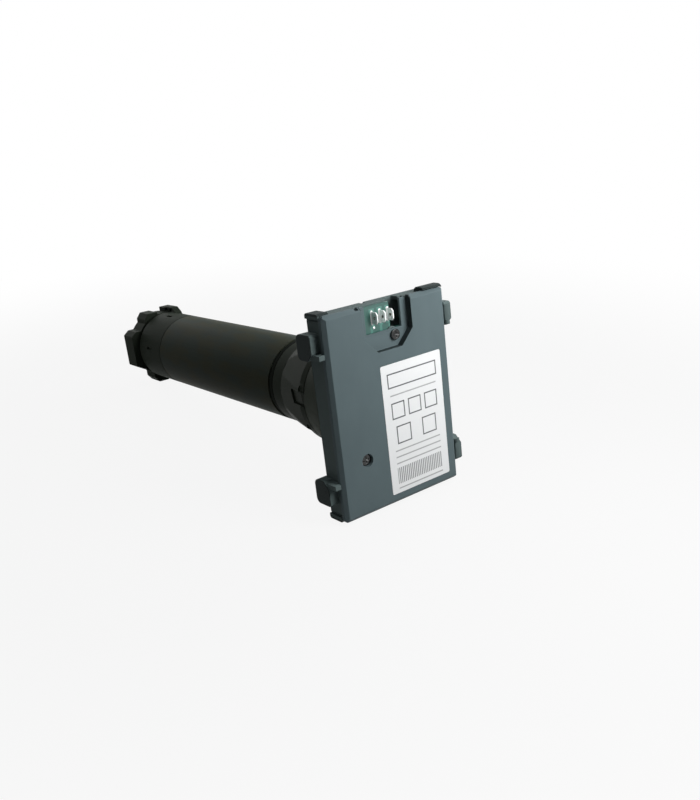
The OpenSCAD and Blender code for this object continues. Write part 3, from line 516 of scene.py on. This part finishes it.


# Head housing
# Blue-grey moulded rear shell of the head. Its side lugs and edge pads hook the motor into the end
# bracket. The lugs' ends and the pads are painted darker, as painted shade.
def painted_shade_on_lugs_and_pads(place):
    """Painted shade: 1 on the lugs' ends and on the edge pads."""
    lug_end = 44.4
    lug_blur = 0.15
    pad_foot = 53.8
    pad_blur = 0.2
    y, z = axes(place)[1:]
    ends = step_up(y.math("ABSOLUTE"), lug_end - lug_blur, lug_end + lug_blur)
    pads = step_up(z.math("ABSOLUTE"), pad_foot - pad_blur, pad_foot + pad_blur)
    return ends.math("MAXIMUM", pads)


# The lugs' ends and the edge pads get painted shade.
housing_plastic = moulded(
    "housing_moulding", (0.104, 0.137, 0.136), grain=0.40, rough=0.52, specular=0.04,
    painted_shade_where=painted_shade_on_lugs_and_pads)
housing = softened("head_housing", "head_housing_shell", edge_r=0.28)
stand_in(housing, "head_housing", "base", housing_plastic)


# Control board
# Glass-epoxy board with a green mask over its copper, screwed behind the window. It carries the
# soldered plug blades on its front, and the relays and the transformer on its back.
BLADE_Y = (-5.5, -0.3, 4.9)
BLADE_Z = 46.0


def patch(across, up, middle, size, blur=0.08):
    """1 inside a rectangle of the given middle and size, in millimetres, and 0 outside."""
    wide = (across - middle[0]).math("ABSOLUTE")
    tall = (up - middle[1]).math("ABSOLUTE")
    return (1 - step_up(wide, size[0] / 2 - blur, size[0] / 2 + blur)) * (
        1 - step_up(tall, size[1] / 2 - blur, size[1] / 2 + blur))


def any_of(masks):
    """The largest of several masks."""
    whole = masks[0]
    for mask in masks[1:]:
        whole = whole.math("MAXIMUM", mask)
    return whole


def masked_board(name):
    """Green solder mask: copper lands and runs show through as paler green, over a fine glass weave."""
    weave_size = (1, 0.5, 0.5)
    land_size = (3.4, 9.4)
    run_w = 1.6
    down_size = (run_w, 24)
    down_z = 30
    spread = 0.9
    cross_size = (20, run_w)
    cross_at = [(-14 + 7 * i, 2 - 5 * i) for i in range(4)]
    finish, shader, place = new_finish(name, Coat_Weight=0.4, Coat_Roughness=0.2)
    y, z = axes(place)[1:]
    weave = speckle(place, weave_size, detail=1)
    lands = [patch(y, z, (at, BLADE_Z), land_size) for at in BLADE_Y]
    down = [patch(y, z, (at + spread * (i - 1), down_z), down_size) for i, at in enumerate(BLADE_Y)]
    cross = [patch(y, z, at, cross_size) for at in cross_at]
    copper = any_of(lands + down + cross)
    feed(shader,
         Base_Color=between(0.75 * copper + 0.25 * weave, (0.011, 0.070, 0.056), (0.050, 0.182, 0.148)),
         Roughness=0.36 + 0.15 * weave,
         Normal=relief(0.8 * copper + 0.2 * weave, depth=0.04))
    return finish


def tinned_blades(name):
    """Bright tin plate, drawn lengthways; bare brass in the punched holes, darkened to near-black as
    painted shade.
    """
    hole_x = -3.2
    hole_r = 0.8
    rim = (hole_r + 0.01, hole_r + 0.05)
    drawn_size = (3, 3, 0.25)
    # Bare brass colour, darkened to near-black: painted shade in the holes.
    brass = (0.030, 0.024, 0.014)
    finish, shader, place = new_finish(name, Metallic=0.3)
    x, z = axes(place)[::2]
    marks = speckle(place, drawn_size, detail=3)
    across = x - hole_x
    up = z - BLADE_Z
    reach = (across * across + up * up).math("SQRT")
    hole = 1 - step_up(reach, *rim)
    plate = between(marks, (0.88, 0.89, 0.88), (0.97, 0.975, 0.97))
    feed(shader,
         Base_Color=between(hole, plate, brass),
         Roughness=0.40 + 0.15 * marks + 0.3 * hole,
         Normal=relief(marks, depth=0.012))
    return finish


def solder_joints(foot):
    """Fillets of solder round the blades' feet, at the board's face, and a dot under the first."""
    corners = 16
    foot_size = (1.9, 7.6)
    flare_size = (1.25, 6.8)
    flare_rise = 0.25
    neck_size = (0.86, 6.36)
    neck_rise = 0.8
    dot_r = 0.75
    dot_flat = 0.6
    dot_aside = 0.6
    dot_below = 5.3

    def boxed(share):
        """A cosine or a sine, pushed out so that a ring becomes a rounded rectangle."""
        return copysign(abs(share) ** 0.5, share)

    turns = [2 * pi * (k + 0.5) / corners for k in range(corners)]
    shape = bmesh.new()
    for y in BLADE_Y:
        rings = []
        for (wide, tall), rise in ((foot_size, 0.0), (flare_size, flare_rise), (neck_size, neck_rise)):
            ring = [(foot + rise, y + wide / 2 * boxed(cos(t)), BLADE_Z + tall / 2 * boxed(sin(t)))
                    for t in turns]
            rings.append([shape.verts.new(Vector(corner) * MM) for corner in ring])
        skin(shape, rings)
    dot_at = Vector((foot, BLADE_Y[0] + dot_aside, BLADE_Z - dot_below)) * MM
    drop = Matrix.Translation(dot_at) @ Matrix.Diagonal((dot_flat, 1, 1, 1))
    bmesh.ops.create_uvsphere(shape, u_segments=corners, v_segments=10, radius=dot_r * MM, matrix=drop)
    return piece_of(shape, "solder_joints", crisp=60)


tin = tinned_blades("bright_tin")
relay_blue = moulded("relay_case", (0.020, 0.055, 0.16), grain=0.5, rough=0.35, specular=0.5)
ferrite = moulded("pressed_ferrite", (0.030, 0.028, 0.026), grain=0.3, rough=0.6, specular=0.4)
dress(masked_board("green_board"), "control_board")
dress(plated_steel, "board_screws")
dress(relay_blue, "relays")
dress(ferrite, "supply_transformer")
blades = softened("spade_terminals", "plug_blades", edge_r=0.2, least=0.4)
stand_in(blades, "spade_terminals", "base", tin)
solder = solder_joints(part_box("control_board")[1].x / MM)
solder.data.materials.append(tin)
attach(solder, "base")


# Head cover
# Blue-grey moulded front plate with a bevelled edge and a sunk plug recess, whose walls carry painted
# shade.
# Two oiled black screws hold it to the housing.
def painted_recess_shade(place):
    """Painted shade: 1 on the walls of the plug recess, between its floor and the cover's face."""
    floor_x = -4.0
    foot = (floor_x + 0.1, floor_x + 0.3)
    brim = (-0.35, -0.2)
    half_w = 16.6
    low = 28.4
    top = 56.0
    x, y, z = axes(place)
    within = patch(y, z, (0, (low + top) / 2), (2 * half_w, top - low))
    return within * step_up(x, *foot) * (1 - step_up(x, *brim))


# The recess walls are painted darker: painted shade.
cover_plastic = moulded(
    "cover_moulding", (0.102, 0.137, 0.146), grain=0.38, rough=0.50, specular=0.06,
    painted_shade_where=painted_recess_shade)
oiled_steel = machined(
    "oiled_black_steel", (0.008, 0.009, 0.009), (0.032, 0.034, 0.034), lay=0.6, rough=0.06, oil=0.8)
cover = softened("head_cover", "head_cover_plate", edge_r=0.25)
stand_in(cover, "head_cover", "base", cover_plastic)
cover_screws = softened("cover_screws", "cover_screw_heads", edge_r=0.3)
stand_in(cover_screws, "cover_screws", "base", oiled_steel)


# Label
# White plastic film, printed in grey and stuck to the cover's face. It carries empty ruled fields,
# rows and an even hatch, and nothing to read.
def printed_film(name, node):
    """White film with empty printed fields, ruled rows and an even hatch, all without words."""
    low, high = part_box(node)
    middle = (low + high) / 2 / MM
    rule = 0.7
    heading_up = 26.5
    heading_size = (34, 8)
    small_up = 10
    small_size = (9, 9)
    large_up = -3.5
    large_size = (10, 10)
    row_l = 32
    row_ups = (18.5, -12, -15.5, -19, -33)
    hatch_up = -26
    hatch_h = 9
    hatch_pitch = 1.3
    row_tone = 0.6
    hatch_tone = 0.8
    ink_grey = (0.075, 0.082, 0.085)
    finish, shader, place = new_finish(name, Coat_Weight=0.15, Coat_Roughness=0.3)
    y, z = axes(place)[1:]
    across = y - middle.y
    up = z - middle.z
    paper = speckle(place, 0.6, detail=3)

    def field(at, size):
        """An empty frame with a thin line."""
        inner = (size[0] - 2 * rule, size[1] - 2 * rule)
        return patch(across, up, at, size) * (1 - patch(across, up, at, inner))

    frames = [field((0, heading_up), heading_size)]
    frames += [field((at, small_up), small_size) for at in (-11.5, 0, 11.5)]
    frames += [field((at, large_up), large_size) for at in (-9, 9)]
    rows = [patch(across, up, (0, row_up), (row_l, rule)) for row_up in row_ups]
    stripes = step_up((across / hatch_pitch).math("FRACT"), 0.44, 0.52)
    hatch = patch(across, up, (0, hatch_up), (row_l, hatch_h)) * stripes
    ink = any_of([*frames, row_tone * any_of(rows), hatch_tone * hatch])
    clean = between(paper, (0.76, 0.775, 0.78), (0.81, 0.82, 0.825))
    feed(shader,
         Base_Color=between(ink, clean, ink_grey),
         Roughness=0.42 + 0.1 * paper)
    return finish


dress(printed_film("white_film", "rating_label"), "rating_label")


# Drive wheel
# Black moulded wheel on the shaft's square end, kept there by the clip. Its side blocks and prongs
# grip the roller tube and turn it.
wheel = softened("drive_wheel", "drive_wheel_moulding", edge_r=0.35)
stand_in(wheel, "drive_wheel", "drive", black_plastic)


# Studio
# Pale floor under the head's pads and the wheel's prongs, in a white room. Soft lamps stand near the
# face, above the tube, behind the wheel and on the far side. The camera has the photograph's view.
def seen_white(tree, plain, white, share):
    """Mixes a plain shader with a white one for rays from the camera, mirrors and clear things."""
    path = tree.nodes.new("ShaderNodeLightPath")
    kinds = ("Is Camera Ray", "Is Glossy Ray", "Is Transmission Ray")
    seen = any_of([Signal(tree, path.outputs[kind]) for kind in kinds])
    mixed = tree.nodes.new("ShaderNodeMixShader")
    tree.links.new((share * seen).socket, mixed.inputs[0])
    tree.links.new(plain.outputs[0], mixed.inputs[1])
    tree.links.new(white.outputs[0], mixed.inputs[2])
    return mixed.outputs[0]


def pale_floor():
    """A plane under the head's lowest pads and the wheel's lowest prongs, whiter far from them."""
    half_w = 4.0
    grey = 0.35
    white_near = 0.9
    fade_from = 0.2
    fade_to = 0.6
    head_low, head_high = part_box("head_housing")
    wheel_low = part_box("drive_wheel")[0]
    front = Vector(((head_low.x + head_high.x) / 2, 0, head_low.z))
    back = Vector((wheel_low.x, 0, wheel_low.z))
    middle = (front + back) / 2
    along = half_w * (front - back).normalized()
    across = half_w * Vector((0, 1, 0))
    corners = [middle + a * along + b * across for a, b in ((-1, -1), (1, -1), (1, 1), (-1, 1))]
    mesh = bpy.data.meshes.new("floor")
    mesh.from_pydata(corners, [], [(0, 1, 2, 3)])
    floor = bpy.data.objects.new("floor", mesh)
    bpy.context.scene.collection.objects.link(floor)
    material = bpy.data.materials.new("pale_floor")
    material.use_nodes = True
    tree = material.node_tree
    shader = tree.nodes["Principled BSDF"]
    shader.inputs["Base Color"].default_value = (grey, grey, grey, 1)
    shader.inputs["Roughness"].default_value = 0.9
    shader.inputs["Specular IOR Level"].default_value = 0.0
    white = tree.nodes.new("ShaderNodeEmission")
    spot = Signal(tree, tree.nodes.new("ShaderNodeTexCoord").outputs["Object"])
    away = spot.node("VectorMath", {"operation": "DISTANCE"}, {0: spot, 1: middle}, output=1)
    share = white_near + (1 - white_near) * step_up(away, fade_from, fade_to)
    tree.links.new(seen_white(tree, shader, white, share), tree.nodes["Material Output"].inputs[0])
    mesh.materials.append(material)


def white_world(ambient):
    """White where the camera or a mirror looks past the part, dimmer as light on the part."""
    world = bpy.data.worlds.new("studio")
    bpy.context.scene.world = world
    world.use_nodes = True
    tree = world.node_tree
    dim = tree.nodes["Background"]
    dim.inputs["Color"].default_value = (1, 1, 1, 1)
    dim.inputs["Strength"].default_value = ambient
    white = tree.nodes.new("ShaderNodeBackground")
    white.inputs["Color"].default_value = (1, 1, 1, 1)
    tree.links.new(seen_white(tree, dim, white, 1.0), tree.nodes["World Output"].inputs[0])


def soft_lamp(name, at, aim, size, power):
    """A square lamp that points at aim."""
    light = bpy.data.lights.new(name, "AREA")
    light.shape = "SQUARE"
    light.size = size
    light.energy = power
    lamp = bpy.data.objects.new(name, light)
    lamp.location = at
    lamp.rotation_euler = (Vector(aim) - Vector(at)).to_track_quat("-Z", "Y").to_euler()
    bpy.context.scene.collection.objects.link(lamp)


def photo_camera():
    """The camera fitted to the photograph: place, aim and roll in the part's own frame."""
    eye = Vector((325.4, -263.1, 131.4)) * MM
    aim = Vector((-140.0, 71.3, -42.5)) * MM
    roll = radians(-6.73)
    focal_px = 840.0
    image_h_px = 800.0
    data = bpy.data.cameras.new("camera")
    data.sensor_width = 36.0
    data.lens = data.sensor_width * focal_px / image_h_px
    data.clip_start = 0.01
    camera = bpy.data.objects.new("camera", data)
    turn = (aim - eye).to_track_quat("-Z", "Y").to_matrix().to_4x4()
    camera.matrix_world = Matrix.Translation(eye) @ turn @ Matrix.Rotation(roll, 4, "Z")
    bpy.context.scene.collection.objects.link(camera)
    bpy.context.scene.camera = camera


FACE = (0, 0.01, 0.01)
MID_TUBE = (-0.15, 0, 0)
pale_floor()
white_world(ambient=0.07)
soft_lamp("key", at=(0.18, 0.09, 0.13), aim=FACE, size=0.14, power=0.72)
soft_lamp("top", at=(-0.15, -0.10, 0.75), aim=MID_TUBE, size=0.5, power=0.7)
soft_lamp("wheel_end", at=(-0.95, 0.05, 0.16), aim=MID_TUBE, size=0.4, power=1.5)
soft_lamp("far_side", at=(-0.20, 0.70, 0.36), aim=MID_TUBE, size=0.4, power=3.2)
photo_camera()
bpy.context.scene.view_settings.view_transform = "Standard"
